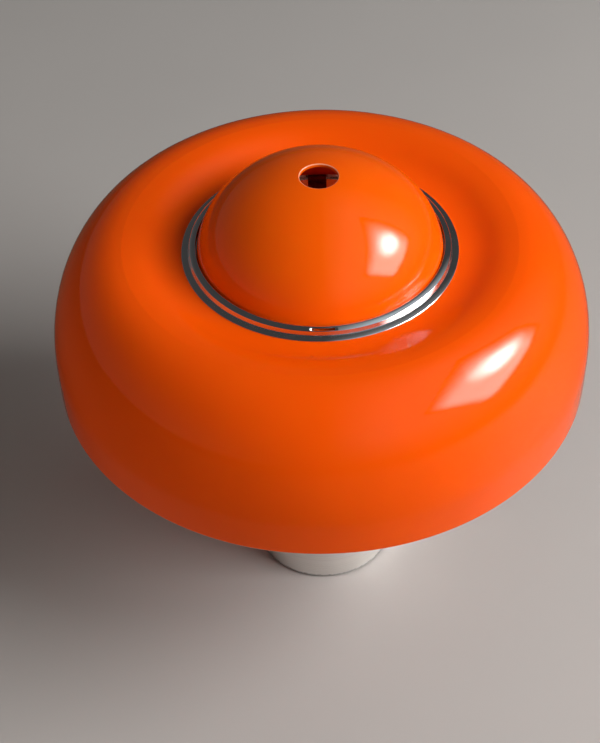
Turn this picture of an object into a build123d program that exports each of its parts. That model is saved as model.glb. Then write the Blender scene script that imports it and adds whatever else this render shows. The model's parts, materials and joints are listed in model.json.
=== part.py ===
from build123d import *
import os
from math import acos, asin, atan, cos, degrees, radians, sin, sqrt, tan

os.makedirs("parts", exist_ok=True)

# Mushroom table lamp, in millimetres. +Z is up, and the origin is the middle of the foot's underside.
# The front, with the notch in the trim ring, faces -Y. The cord bush is at the back, on +Y.

# Clearances
slip_clearance = 0.3  # radial, between pieces that lift out of each other
hole_clearance = 0.2  # radial, round a rod or screw in a plain hole
seat_clearance = 0.1  # between two faces, one lying on the other
thread_clearance = 0.05  # radial, round a screw or a threaded tube
socket_clearance = 0.1  # radial, round a bulb's cap and the sleeve that takes it

# Base
base_radius = 62.6
foot_inset = 1.8  # from the base's outside to the foot's
foot_width = 9.0
foot_thickness = 1.8
base_wall = 1.5
base_height = 246.0
base_shoulder = 8.0
plate_thickness = 1.5
plate_lip_height = 3.0
dimple_depth = 9.0
dimple_slope_width = 4.0
ballast_thickness = 18.0
ballast_edge = 1.5

# Cord bush, low at the back
bush_height = 32.0
bush_radius = 5.4
bush_bore_radius = 3.2
bush_flange_radius = 8.0
bush_flange_thickness = 2.4
bush_depth = 9.0

# Cord clamp, terminal block and their screws, on the ballast
clamp_width = 28.0
clamp_depth = 9.0
clamp_height = 9.0
clamp_inset = 19.0  # from the ballast's edge to the clamp's middle
clamp_screw_spacing = 19.0
block_length = 24.0
block_width = 18.0
block_height = 14.0
block_distance = 30.0
terminal_spacing = 9.0
terminal_radius = 2.0
terminal_screw_height = 3.0
terminal_well_depth = 6.0
wire_hole_radius = 1.5
inner_screw_radius = 1.5
inner_screw_length = 15.0
inner_screw_head_radius = 2.9
inner_screw_head_height = 2.0

# Tie rod and what is threaded on it
rod_radius = 5.0
rod_bore_radius = 3.5
rod_nut_size = 17.0
rod_nut_height = 5.0
rod_washer_radius = 10.0
rod_washer_thickness = 1.2
rod_end = 1.6
lead_radius = 2.0
lead_clearance = 0.2
lead_height = 28.0
riser_radius = 2.6

# Lamp cluster
lamp_count = 3
first_lamp_angle = -90.0
lamp_tilt = 15.0
lamp_axis_rise = 22.0  # where the lamps' axes meet, above the base
cluster_side_distance = 28.0  # from there to the cluster's side, along a lamp's axis
cluster_height = 44.0
cluster_wall = 2.0
lid_thickness = 2.0
lid_spigot_depth = 3.0
lid_spigot_width = 2.0
nipple_radius = 5.0
nipple_bore_radius = 3.2
nipple_entry = 8.0
nipple_end = 2.0
nipple_nut_size = 14.0
nipple_nut_height = 3.0

# Lampholders, along each lamp's axis
holder_boss_radius = 9.0
holder_boss_length = 5.0
holder_cap_length = 13.0
holder_body_radius = 19.5
holder_body_length = 33.0
holder_floor = 11.0
holder_groove_count = 5
holder_groove_width = 1.4
holder_groove_depth = 0.7
holder_rim_rounding = 1.5
insert_thickness = 4.0
contact_radius = 4.5
contact_thickness = 0.8
sleeve_wall = 0.6
sleeve_end_gap = 2.5

# Bulbs with a 27 mm screw cap
bulb_cap_radius = 13.2
bulb_cap_wall = 0.8
bulb_tip_radius = 4.5
bulb_tip_height = 1.5
bulb_cone_height = 3.4
bulb_globe_radius = 30.0
bulb_neck_length = 52.0  # from the cap to the middle of the globe
bulb_glass = 1.0
bulb_neck_overlap = 8.0  # how far the glass reaches into the cap

# Shade carrier
carrier_rise = 103.3  # from the base's top to the face that the shade rests on
spider_thickness = 3.0
spider_hub_radius = 18.0
spider_arm_width = 16.0
spider_radius = 111.0
spider_lug_width = 4.0
spider_lug_height = 4.0
stem_radius = 8.0

# Shade and trim ring
shade_radius = 230.0
shade_wall = 3.0
shade_crest_radius = 164.6
shade_crest_rise = 10.5  # from the flange's top to the crest
shade_crown_depth = 99.8  # from the crest down to the widest place
shade_skirt_depth = 33.6  # from the widest place down to the rim
shade_rim_inset = 0.7
shade_rim_rounding = 1.2
ring_radius = 115.6
ring_thickness = 0.9
ring_crown = 0.4  # how far the ring's flat part bulges
ring_edge_rounding = 0.4
collar_rise = 5.4
collar_width = 4.2
collar_rounding = 3.0
collar_chamfer = 0.7
ring_ledge_width = 5.4
ring_ledge_thickness = 2.7
ring_ledge_rise = 0.3  # from the flange's top to the ledge that carries the dome
ring_notch_width = 18.0
ring_notch_depth = 3.2
flange_margin = 1.2  # flat part of the flange that shows outside the ring
spigot_wall = 0.6
retaining_thickness = 2.0
retaining_radius = 113.0
ring_screw_count = 6
ring_screw_circle = 101.4
ring_screw_radius = 1.25
ring_screw_head_radius = 2.4
ring_screw_head_height = 1.2
ring_screw_entry = 1.8  # how far a screw reaches into the trim ring

# Dome
dome_half_width = 103.7
dome_half_height = 83.6
dome_centre_drop = 7.9  # from the flange's top down to the middle of the dome's ellipse
dome_wall = 3.0
vent_radius = 15.8
vent_rounding = 0.7


# Heights and radii that follow from the sizes above
foot_radius = base_radius - foot_inset
plate_top = foot_thickness + plate_thickness
base_inner_radius = base_radius - base_wall
plate_lip_radius = base_inner_radius - slip_clearance
plate_lip_inner_radius = plate_lip_radius - plate_thickness
ballast_radius = plate_lip_inner_radius - slip_clearance
clamp_distance = ballast_radius - clamp_inset
ballast_top = plate_top + ballast_thickness
rod_hole_radius = rod_radius + hole_clearance
dimple_ceiling = foot_thickness + dimple_depth
lower_nut_bottom = dimple_ceiling - rod_washer_thickness - rod_nut_height
cluster_top = base_height + cluster_height
lid_top = cluster_top + lid_thickness
carrier_height = base_height + carrier_rise
spider_top = carrier_height - seat_clearance
spider_bottom = spider_top - spider_thickness
spider_nut_bottom = spider_top + rod_washer_thickness
rod_bottom = lower_nut_bottom - rod_end
rod_top = spider_nut_bottom + rod_nut_height + rod_end
flange_bottom = carrier_height + retaining_thickness
flange_top = flange_bottom + shade_wall
crest_height = flange_top + shade_crest_rise
equator_height = crest_height - shade_crown_depth
rim_height = equator_height - shade_skirt_depth
ledge_top = flange_top + ring_ledge_rise
ledge_bottom = ledge_top - ring_ledge_thickness
dome_bottom = ledge_top + seat_clearance
dome_centre = flange_top - dome_centre_drop
dome_bottom_angle = asin((dome_bottom - dome_centre) / dome_half_height)
dome_foot_radius = dome_half_width * cos(dome_bottom_angle)
lip_radius = dome_foot_radius + slip_clearance
spigot_radius = lip_radius + spigot_wall
opening_radius = lip_radius - ring_ledge_width
lamp_axis_height = base_height + lamp_axis_rise

# Places along a lamp's axis, from the point where the axes meet
holder_back = cluster_side_distance + seat_clearance
holder_cap_start = holder_back + holder_boss_length
holder_body_start = holder_cap_start + holder_cap_length
holder_front = holder_body_start + holder_body_length
insert_start = holder_cap_start + holder_floor
contact_start = insert_start + insert_thickness
bulb_tip_start = contact_start + contact_thickness + seat_clearance
bulb_cap_start = bulb_tip_start + bulb_tip_height + seat_clearance
bulb_cap_end = holder_front
globe_centre = bulb_cap_end + bulb_neck_length
sleeve_radius = bulb_cap_radius + socket_clearance
holder_bore_radius = sleeve_radius + sleeve_wall + thread_clearance
nipple_start = cluster_side_distance - cluster_wall - nipple_nut_height - 2 * nipple_end
nipple_stop = holder_back + nipple_entry


def disc_with_hole(radius, hole_radius, bottom, thickness):
    """A flat round washer, lying on the given height."""
    with BuildPart() as disc:
        with BuildSketch(Plane.XY.offset(bottom)):
            Circle(radius)
            Circle(hole_radius, mode=Mode.SUBTRACT)
        extrude(amount=thickness)
    return disc


def hexagon_nut(plane, size_across_flats, hole_radius, height):
    """A hexagon nut that stands on the plane, its free corners broken."""
    with BuildPart() as nut:
        with BuildSketch(plane):
            RegularPolygon(size_across_flats / 2, 6, major_radius=False)
            Circle(hole_radius, mode=Mode.SUBTRACT)
        extrude(amount=height)
        free_face = nut.faces().sort_by(Axis(plane.origin, plane.z_dir))[-1]
        chamfer(free_face.outer_wire().edges(), height * 0.1)
    return nut


def lamp_section(index):
    """The half plane of a lamp: x runs outwards along its axis, y up from it."""
    angle = radians(first_lamp_angle + index * 360 / lamp_count)
    tilt = radians(lamp_tilt)
    outwards = Vector(cos(tilt) * cos(angle), cos(tilt) * sin(angle), sin(tilt))
    sideways = Vector(sin(angle), -cos(angle), 0)
    return Plane(origin=(0, 0, lamp_axis_height), x_dir=outwards, z_dir=sideways)


def lamp_cross_section(index, distance):
    """The plane across a lamp's axis, at a distance along it."""
    section = lamp_section(index)
    origin = section.origin + section.x_dir * distance
    return Plane(origin=origin, x_dir=section.z_dir, z_dir=section.x_dir)


def lamp_axis(index):
    section = lamp_section(index)
    return Axis(section.origin, section.x_dir)


# ---- Base ----------------------------------------------------------------------------------------

# Rubber ring that the lamp stands on
with BuildPart() as foot_ring:
    with BuildSketch():
        Circle(foot_radius)
        Circle(foot_radius - foot_width, mode=Mode.SUBTRACT)
    extrude(amount=foot_thickness)
    fillet(foot_ring.edges().group_by(Axis.Z)[0], foot_thickness / 4)

foot_ring.part.label = "foot_ring"
export_step(foot_ring.part, "parts/foot_ring.step")

# Pressed plate under the base. A dimple in its middle takes the nut of the tie rod, and a lip keeps
# the shell and the ballast in the middle.
dimple_top_radius = rod_washer_radius + 2 * slip_clearance
dimple_foot_radius = dimple_top_radius + dimple_slope_width
with BuildPart() as bottom_plate:
    with BuildSketch(Plane.XZ):
        with BuildLine():
            Polyline(
                (rod_hole_radius, dimple_ceiling),
                (dimple_top_radius, dimple_ceiling),
                (dimple_foot_radius, foot_thickness),
                (base_radius, foot_thickness),
                (base_radius, plate_top),
                (plate_lip_radius, plate_top),
                (plate_lip_radius, plate_top + plate_lip_height),
                (plate_lip_inner_radius, plate_top + plate_lip_height),
                (plate_lip_inner_radius, plate_top),
                (dimple_foot_radius + plate_thickness, plate_top),
                (dimple_top_radius + plate_thickness, dimple_ceiling + plate_thickness),
                (rod_hole_radius, dimple_ceiling + plate_thickness),
                close=True,
            )
        make_face()
    revolve(axis=Axis.Z)

bottom_plate.part.label = "bottom_plate"
export_step(bottom_plate.part, "parts/bottom_plate.step")

# Where the screws of the clamp and of the terminal block enter the ballast
clamp_screw_places = [(-clamp_screw_spacing / 2, clamp_distance), (clamp_screw_spacing / 2, clamp_distance)]
block_screw_place = (block_distance, 0)
inner_screw_places = clamp_screw_places + [block_screw_place]
inner_screw_entry = inner_screw_length - clamp_height

# Cast iron disc
with BuildPart() as ballast_weight:
    with BuildSketch(Plane.XY.offset(plate_top)):
        Circle(ballast_radius)
    extrude(amount=ballast_thickness)
    chamfer(ballast_weight.edges().group_by(Axis.Z)[-1], ballast_edge)
    with BuildSketch(Plane.XY.offset(plate_top)):
        Circle(dimple_foot_radius + plate_thickness + slip_clearance)
    extrude(amount=dimple_depth + seat_clearance, mode=Mode.SUBTRACT)
    with BuildSketch(Plane.XY.offset(plate_top)):
        Circle(rod_hole_radius)
    extrude(amount=ballast_thickness, mode=Mode.SUBTRACT)
    with BuildSketch(Plane.XY.offset(ballast_top)):
        with Locations(*inner_screw_places):
            Circle(inner_screw_radius)
    extrude(amount=-inner_screw_entry - thread_clearance, mode=Mode.SUBTRACT)

ballast_weight.part.label = "ballast_weight"
export_step(ballast_weight.part, "parts/ballast_weight.step")

# Spun aluminium cylinder, closed at the top
bush_plane = Plane(origin=(0, base_radius, bush_height), x_dir=(1, 0, 0), z_dir=(0, 1, 0))
with BuildPart() as base_shell:
    with BuildSketch(Plane.XY.offset(plate_top)):
        Circle(base_radius)
    extrude(amount=base_height - plate_top)
    fillet(base_shell.edges().group_by(Axis.Z)[-1], base_shoulder)
    offset(amount=-base_wall, openings=base_shell.faces().sort_by(Axis.Z)[0])
    with BuildSketch(Plane.XY.offset(base_height)):
        Circle(rod_hole_radius)
    extrude(amount=-base_wall, mode=Mode.SUBTRACT)
    with BuildSketch(bush_plane):
        Circle(bush_radius + thread_clearance)
    extrude(amount=-base_radius / 2, mode=Mode.SUBTRACT)

base_shell.part.label = "base_shell"
export_step(base_shell.part, "parts/base_shell.step")

# Plastic bush in the shell's wall, with a rounded flange outside
with BuildPart() as cord_bush:
    with BuildSketch(bush_plane):
        Circle(bush_flange_radius)
    extrude(amount=bush_flange_thickness)
    fillet(cord_bush.edges().group_by(Axis.Y)[-1], bush_flange_thickness * 0.6)
    with BuildSketch(bush_plane):
        Circle(bush_radius)
    extrude(amount=-bush_depth)
    with BuildSketch(bush_plane.offset(bush_flange_thickness)):
        Circle(bush_bore_radius)
    extrude(amount=-bush_flange_thickness - bush_depth, mode=Mode.SUBTRACT)
    bush_mouth = cord_bush.edges().group_by(Axis.Y)[-1].sort_by(SortBy.RADIUS)[0]
    chamfer(bush_mouth, bush_flange_thickness * 0.2)

cord_bush.part.label = "cord_bush"
export_step(cord_bush.part, "parts/cord_bush.step")


# ---- Inside the base -----------------------------------------------------------------------------

# Saddle that would hold the cord against the ballast
with BuildPart() as cord_clamp:
    with BuildSketch(Plane.XY.offset(ballast_top)):
        with Locations((0, clamp_distance)):
            RectangleRounded(clamp_width, clamp_depth, clamp_depth / 4)
    extrude(amount=clamp_height)
    with BuildSketch(Plane.XZ.offset(-clamp_distance - clamp_depth / 2)):
        with Locations((0, ballast_top + bush_bore_radius)):
            Circle(bush_bore_radius)
        with Locations((0, ballast_top + bush_bore_radius / 2)):
            Rectangle(2 * bush_bore_radius, bush_bore_radius)
    extrude(amount=clamp_depth, mode=Mode.SUBTRACT)
    with BuildSketch(Plane.XY.offset(ballast_top)):
        with Locations(*clamp_screw_places):
            Circle(inner_screw_radius + hole_clearance)
    extrude(amount=clamp_height, mode=Mode.SUBTRACT)

cord_clamp.part.label = "cord_clamp"
export_step(cord_clamp.part, "parts/cord_clamp.step")

# Two-way terminal block: a screw through its middle, a hole for the inner lead on one side, a hole
# for each wire of the cord on the other, and four screw wells
terminal_places = []
for end in (-1, 1):
    for way in (-1, 1):
        terminal_places.append((block_distance + end * block_length / 3, way * terminal_spacing / 2))
lead_entry = block_length / 6
wire_entry = block_length / 4
with BuildPart() as terminal_block:
    with BuildSketch(Plane.XY.offset(ballast_top)):
        with Locations((block_distance, 0)):
            RectangleRounded(block_length, block_width, block_width / 9)
    extrude(amount=block_height)
    with BuildSketch(Plane.XY.offset(ballast_top)):
        with Locations(block_screw_place):
            Circle(inner_screw_radius + hole_clearance)
    extrude(amount=block_height, mode=Mode.SUBTRACT)
    with BuildSketch(Plane.XY.offset(ballast_top + clamp_height)):
        with Locations(block_screw_place):
            Circle(inner_screw_head_radius + slip_clearance)
    extrude(amount=block_height, mode=Mode.SUBTRACT)
    with BuildSketch(Plane.XY.offset(ballast_top + block_height)):
        with Locations(*terminal_places):
            Circle(terminal_radius + thread_clearance)
    extrude(amount=-terminal_well_depth, mode=Mode.SUBTRACT)
    with BuildSketch(Plane.YZ.offset(block_distance - block_length / 2)):
        with Locations((0, lead_height)):
            Circle(lead_radius + thread_clearance)
    extrude(amount=lead_entry, mode=Mode.SUBTRACT)
    with BuildSketch(Plane.YZ.offset(block_distance + block_length / 2)):
        with Locations((-terminal_spacing / 2, lead_height), (terminal_spacing / 2, lead_height)):
            Circle(wire_hole_radius)
    extrude(amount=-wire_entry, mode=Mode.SUBTRACT)

terminal_block.part.label = "terminal_block"
export_step(terminal_block.part, "parts/terminal_block.step")

# Four slotted screws in the wells of the terminal block
terminal_well_floor = ballast_top + block_height - terminal_well_depth
with BuildPart() as terminal_screws:
    with BuildSketch(Plane.XY.offset(terminal_well_floor)):
        with Locations(*terminal_places):
            Circle(terminal_radius)
    extrude(amount=terminal_screw_height)
    with BuildSketch(Plane.XY.offset(terminal_well_floor + terminal_screw_height)):
        with Locations(*terminal_places):
            Rectangle(2 * terminal_radius, terminal_radius / 3)
    extrude(amount=-terminal_screw_height / 3, mode=Mode.SUBTRACT)

terminal_screws.part.label = "terminal_screws"
export_step(terminal_screws.part, "parts/terminal_screws.step")

# Three equal pan head screws: two through the clamp, one through the terminal block
screw_seat = ballast_top + clamp_height
with BuildPart() as inner_screws:
    with BuildSketch(Plane.XY.offset(screw_seat)):
        with Locations(*inner_screw_places):
            Circle(inner_screw_head_radius)
    extrude(amount=inner_screw_head_height)
    fillet(inner_screws.edges().group_by(Axis.Z)[-1], inner_screw_head_height * 0.4)
    with BuildSketch(Plane.XY.offset(screw_seat)):
        with Locations(*inner_screw_places):
            Circle(inner_screw_radius - thread_clearance)
    extrude(amount=-inner_screw_length)
    with BuildSketch(Plane.XY.offset(screw_seat + inner_screw_head_height)):
        with Locations(*inner_screw_places):
            Rectangle(2 * inner_screw_head_radius, inner_screw_radius / 2)
    extrude(amount=-inner_screw_head_height / 3, mode=Mode.SUBTRACT)

inner_screws.part.label = "inner_screws"
export_step(inner_screws.part, "parts/inner_screws.step")


# ---- Tie rod, its nuts and the inner wiring ------------------------------------------------------

# Hollow threaded rod, with a hole for the lead in the base and one for each lamp in the cluster
rod_lead_hole = lead_radius + lead_clearance
with BuildPart() as tie_rod:
    with BuildSketch(Plane.XY.offset(rod_bottom)):
        Circle(rod_radius)
        Circle(rod_bore_radius, mode=Mode.SUBTRACT)
    extrude(amount=rod_top - rod_bottom)
    chamfer(tie_rod.faces().sort_by(Axis.Z)[-1].outer_wire().edges(), (rod_radius - rod_bore_radius) / 3)
    with BuildSketch(Plane.YZ):
        with Locations((0, lead_height)):
            Circle(rod_lead_hole)
    extrude(amount=2 * rod_radius, mode=Mode.SUBTRACT)
    for index in range(lamp_count):
        with BuildSketch(lamp_cross_section(index, 0)):
            Circle(rod_lead_hole)
        extrude(amount=2 * rod_radius, mode=Mode.SUBTRACT)

tie_rod.part.label = "tie_rod"
export_step(tie_rod.part, "parts/tie_rod.step")

rod_thread_hole = rod_radius + thread_clearance
lower_washer_bottom = dimple_ceiling - rod_washer_thickness
lower_washer = disc_with_hole(rod_washer_radius, rod_hole_radius, lower_washer_bottom, rod_washer_thickness)
lower_washer.part.label = "lower_washer"
export_step(lower_washer.part, "parts/lower_washer.step")

lower_nut_plane = Plane(origin=(0, 0, lower_washer_bottom), z_dir=(0, 0, -1))
lower_nut = hexagon_nut(lower_nut_plane, rod_nut_size, rod_thread_hole, rod_nut_height)
lower_nut.part.label = "lower_nut"
export_step(lower_nut.part, "parts/lower_nut.step")

# Lead from the terminal block into the side of the rod
base_lead_end = block_distance - block_length / 2 + lead_entry
base_lead_start = riser_radius + lead_clearance
with BuildPart() as base_lead:
    with BuildSketch(Plane.YZ.offset(base_lead_start)):
        with Locations((0, lead_height)):
            Circle(lead_radius)
    extrude(amount=base_lead_end - base_lead_start)

base_lead.part.label = "base_lead"
export_step(base_lead.part, "parts/base_lead.step")

# Lead that climbs inside the rod, to just below the leads of the lamps
holder_lead_start = rod_bore_radius - lead_clearance
riser_top = lamp_axis_height - lead_radius - riser_radius * tan(radians(lamp_tilt)) - lead_clearance
with BuildPart() as riser_lead:
    with BuildSketch(Plane.XY.offset(lead_height - lead_radius)):
        Circle(riser_radius)
    extrude(amount=riser_top - lead_height + lead_radius)

riser_lead.part.label = "riser_lead"
export_step(riser_lead.part, "parts/riser_lead.step")

# One lead to each lamp, through the nipple and up to the insert of its lampholder
with BuildPart() as holder_leads:
    for index in range(lamp_count):
        with BuildSketch(lamp_cross_section(index, holder_lead_start)):
            Circle(lead_radius)
        extrude(amount=insert_start - holder_lead_start)

holder_leads.part.label = "holder_leads"
export_step(holder_leads.part, "parts/holder_leads.step")


# ---- Lamp cluster --------------------------------------------------------------------------------

# Drum whose side leans so that each lampholder sits square on it
tilt = radians(lamp_tilt)
side_height = lamp_axis_height + cluster_side_distance * sin(tilt)
side_radius = cluster_side_distance * cos(tilt)
cluster_foot_radius = side_radius + (side_height - base_height) * tan(tilt)
cluster_top_radius = side_radius - (cluster_top - side_height) * tan(tilt)
with BuildPart() as cluster_body:
    with BuildSketch(Plane.XZ):
        with BuildLine():
            Polyline(
                (0, base_height),
                (cluster_foot_radius, base_height),
                (cluster_top_radius, cluster_top),
                (0, cluster_top),
                close=True,
            )
        make_face()
    revolve(axis=Axis.Z)
    offset(amount=-cluster_wall, openings=cluster_body.faces().sort_by(Axis.Z)[-1])
    with BuildSketch(Plane.XY.offset(base_height)):
        Circle(rod_hole_radius)
    extrude(amount=cluster_wall, mode=Mode.SUBTRACT)
    for index in range(lamp_count):
        with BuildSketch(lamp_cross_section(index, cluster_side_distance / 2)):
            Circle(nipple_radius + thread_clearance)
        extrude(amount=cluster_side_distance, mode=Mode.SUBTRACT)

cluster_body.part.label = "cluster_body"
export_step(cluster_body.part, "parts/cluster_body.step")

# Lid with a spigot that reaches into the drum
spigot_height = cluster_top - lid_spigot_depth
drum_top_inner_radius = cluster_top_radius - cluster_wall / cos(tilt)
lid_spigot_radius = drum_top_inner_radius - slip_clearance
with BuildPart() as cluster_lid:
    with BuildSketch(Plane.XY.offset(cluster_top)):
        Circle(cluster_top_radius)
    extrude(amount=lid_thickness)
    fillet(cluster_lid.edges().group_by(Axis.Z)[-1], lid_thickness / 2)
    with BuildSketch(Plane.XY.offset(spigot_height)):
        Circle(lid_spigot_radius)
        Circle(lid_spigot_radius - lid_spigot_width, mode=Mode.SUBTRACT)
    extrude(amount=lid_spigot_depth)
    with BuildSketch(Plane.XY.offset(cluster_top)):
        Circle(rod_hole_radius)
    extrude(amount=lid_thickness, mode=Mode.SUBTRACT)

cluster_lid.part.label = "cluster_lid"
export_step(cluster_lid.part, "parts/cluster_lid.step")

# Hollow nipples that join the lampholders to the drum
with BuildPart() as nipples:
    for index in range(lamp_count):
        with BuildSketch(lamp_cross_section(index, nipple_start)):
            Circle(nipple_radius)
            Circle(nipple_bore_radius, mode=Mode.SUBTRACT)
        extrude(amount=nipple_stop - nipple_start)

nipples.part.label = "nipples"
export_step(nipples.part, "parts/nipples.step")

# Their nuts inside the drum, clear of its hollow wall at their corners
nut_corner = nipple_nut_size / 2 / cos(radians(30))
wall_radius = side_radius - cluster_wall / cos(tilt) - nut_corner * sin(tilt)
wall_sagitta = wall_radius - sqrt(wall_radius**2 - nut_corner**2)
nut_seat = cluster_side_distance - cluster_wall - wall_sagitta - slip_clearance
with BuildPart() as nipple_nuts:
    for index in range(lamp_count):
        with BuildSketch(lamp_cross_section(index, nut_seat)):
            RegularPolygon(nipple_nut_size / 2, 6, major_radius=False)
            Circle(nipple_radius + thread_clearance, mode=Mode.SUBTRACT)
        extrude(amount=-nipple_nut_height)

nipple_nuts.part.label = "nipple_nuts"
export_step(nipple_nuts.part, "parts/nipple_nuts.step")


# ---- Lampholders ---------------------------------------------------------------------------------


def build_lampholder(index):
    """The moulded case: a boss for the nipple, a domed cap and a grooved body, hollow at the front."""
    cap_width = holder_body_radius - holder_boss_radius
    groove_pitch = holder_body_length / 2 / holder_groove_count
    with BuildPart() as holder:
        with BuildSketch(lamp_section(index)):
            with BuildLine():
                Polyline(
                    (holder_back, nipple_radius + thread_clearance),
                    (holder_back, holder_boss_radius),
                    (holder_cap_start, holder_boss_radius),
                )
                EllipticalCenterArc(
                    (holder_body_start, holder_boss_radius),
                    x_radius=holder_cap_length,
                    y_radius=cap_width,
                    start_angle=90,
                    arc_size=90,
                )
                Polyline(
                    (holder_body_start, holder_body_radius),
                    (holder_front, holder_body_radius),
                    (holder_front, holder_bore_radius),
                    (insert_start, holder_bore_radius),
                    (insert_start, lead_radius + lead_clearance),
                    (nipple_stop, lead_radius + lead_clearance),
                    (nipple_stop, nipple_radius + thread_clearance),
                    (holder_back, nipple_radius + thread_clearance),
                )
            make_face()
        revolve(axis=lamp_axis(index))
        front_edges = holder.edges().filter_by(GeomType.CIRCLE).sort_by(lamp_axis(index))
        rim_edge = front_edges.group_by(lamp_axis(index))[-1].sort_by(SortBy.RADIUS)[-1]
        fillet(rim_edge, holder_rim_rounding)
        for groove in range(holder_groove_count):
            with BuildSketch(lamp_section(index)):
                with Locations((holder_body_start + (groove + 1) * groove_pitch, holder_body_radius)):
                    Rectangle(holder_groove_width, 2 * holder_groove_depth)
            revolve(axis=lamp_axis(index), mode=Mode.SUBTRACT)
    return holder


def build_insert(index):
    """Ceramic disc behind the contacts."""
    with BuildPart() as insert:
        with BuildSketch(lamp_cross_section(index, insert_start)):
            Circle(holder_bore_radius - thread_clearance)
        extrude(amount=insert_thickness)
    return insert


def build_sleeve(index):
    """Threaded brass sleeve that takes the bulb's cap."""
    with BuildPart() as sleeve:
        with BuildSketch(lamp_cross_section(index, contact_start)):
            Circle(sleeve_radius + sleeve_wall)
            Circle(sleeve_radius, mode=Mode.SUBTRACT)
        extrude(amount=holder_front - contact_start - sleeve_end_gap)
    return sleeve


def build_centre_contact(index):
    """Brass contact in the middle of the insert."""
    with BuildPart() as contact:
        with BuildSketch(lamp_cross_section(index, contact_start)):
            Circle(contact_radius)
        extrude(amount=contact_thickness)
    return contact


for index in range(lamp_count):
    number = index + 1

    lampholder = build_lampholder(index)
    lampholder.part.label = f"lampholder_{number}"
    export_step(lampholder.part, f"parts/lampholder_{number}.step")

    contact_insert = build_insert(index)
    contact_insert.part.label = f"contact_insert_{number}"
    export_step(contact_insert.part, f"parts/contact_insert_{number}.step")

    screw_sleeve = build_sleeve(index)
    screw_sleeve.part.label = f"screw_sleeve_{number}"
    export_step(screw_sleeve.part, f"parts/screw_sleeve_{number}.step")

    centre_contact = build_centre_contact(index)
    centre_contact.part.label = f"centre_contact_{number}"
    export_step(centre_contact.part, f"parts/centre_contact_{number}.step")


# ---- Bulbs ---------------------------------------------------------------------------------------


def build_bulb_tip(index):
    """Solder button at the end of the cap."""
    with BuildPart() as tip:
        with BuildSketch(lamp_cross_section(index, bulb_tip_start)):
            Circle(bulb_tip_radius)
        extrude(amount=bulb_tip_height)
        fillet(tip.edges().sort_by(lamp_axis(index))[0], bulb_tip_height / 3)
    return tip


def build_bulb_cap(index):
    """Thin screw cap with a cone towards the tip."""
    cone_end = bulb_cap_start + bulb_cone_height
    with BuildPart() as cap:
        with BuildSketch(lamp_section(index)):
            with BuildLine():
                Polyline(
                    (bulb_cap_start, 0),
                    (bulb_cap_start, bulb_tip_radius),
                    (cone_end, bulb_cap_radius),
                    (bulb_cap_end, bulb_cap_radius),
                    (bulb_cap_end, bulb_cap_radius - bulb_cap_wall),
                    (cone_end + bulb_cap_wall, bulb_cap_radius - bulb_cap_wall),
                    (cone_end + bulb_cap_wall, 0),
                    close=True,
                )
            make_face()
        revolve(axis=lamp_axis(index))
    return cap


def draw_envelope(inset):
    """The envelope's outline, from the neck's end to the lamp's axis, set in from its outside."""
    neck_radius = bulb_cap_radius - bulb_cap_wall - thread_clearance - inset
    neck = Line((bulb_cap_end - bulb_neck_overlap, neck_radius), (bulb_cap_end, neck_radius))
    shoulder = Spline(neck @ 1, (globe_centre, bulb_globe_radius - inset), tangents=[(1, 0), (1, 0)])
    globe = CenterArc((globe_centre, 0), bulb_globe_radius - inset, 0, 90)
    return neck, shoulder, globe


def build_bulb_glass(index):
    """Envelope: a neck cemented into the cap, that swells into a globe."""
    with BuildPart() as glass:
        with BuildSketch(lamp_section(index)):
            with BuildLine():
                outer_neck, _, outer_globe = draw_envelope(0)
                inner_neck, _, inner_globe = draw_envelope(bulb_glass)
                Line(outer_neck @ 0, inner_neck @ 0)
                Line(outer_globe @ 0, inner_globe @ 0)
            make_face()
        revolve(axis=lamp_axis(index))
    return glass


for index in range(lamp_count):
    number = index + 1

    bulb_tip = build_bulb_tip(index)
    bulb_tip.part.label = f"bulb_tip_{number}"
    export_step(bulb_tip.part, f"parts/bulb_tip_{number}.step")

    bulb_cap = build_bulb_cap(index)
    bulb_cap.part.label = f"bulb_cap_{number}"
    export_step(bulb_cap.part, f"parts/bulb_cap_{number}.step")

    bulb_envelope = build_bulb_glass(index)
    bulb_envelope.part.label = f"bulb_glass_{number}"
    export_step(bulb_envelope.part, f"parts/bulb_glass_{number}.step")


# ---- Shade carrier -------------------------------------------------------------------------------

# Spacer tube from the cluster's lid to the spider
with BuildPart() as stem_sleeve:
    with BuildSketch(Plane.XY.offset(lid_top)):
        Circle(stem_radius)
        Circle(rod_hole_radius, mode=Mode.SUBTRACT)
    extrude(amount=spider_bottom - lid_top)

stem_sleeve.part.label = "stem_sleeve"
export_step(stem_sleeve.part, "parts/stem_sleeve.step")

# Three arms between the lamps, each with a lug that keeps the shade in the middle
lug_end = sqrt((opening_radius - slip_clearance) ** 2 - (spider_arm_width / 2) ** 2)
first_arm_angle = first_lamp_angle + 180 / lamp_count
with BuildPart() as spider:
    with BuildSketch(Plane.XY.offset(spider_bottom)):
        with PolarLocations(spider_radius / 2, lamp_count, first_arm_angle):
            Rectangle(spider_radius, spider_arm_width)
        Circle(spider_radius, mode=Mode.INTERSECT)
        Circle(spider_hub_radius)
        Circle(rod_hole_radius, mode=Mode.SUBTRACT)
    extrude(amount=spider_thickness)
    with BuildSketch(Plane.XY.offset(spider_top)):
        with PolarLocations(lug_end - spider_lug_width / 2, lamp_count, first_arm_angle):
            Rectangle(spider_lug_width, spider_arm_width)
    extrude(amount=spider_lug_height)
    fillet(spider.edges().group_by(Axis.Z)[-1], spider_lug_width / 5)

spider.part.label = "spider"
export_step(spider.part, "parts/spider.step")

spider_washer = disc_with_hole(rod_washer_radius, rod_hole_radius, spider_top, rod_washer_thickness)
spider_washer.part.label = "spider_washer"
export_step(spider_washer.part, "parts/spider_washer.step")

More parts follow.
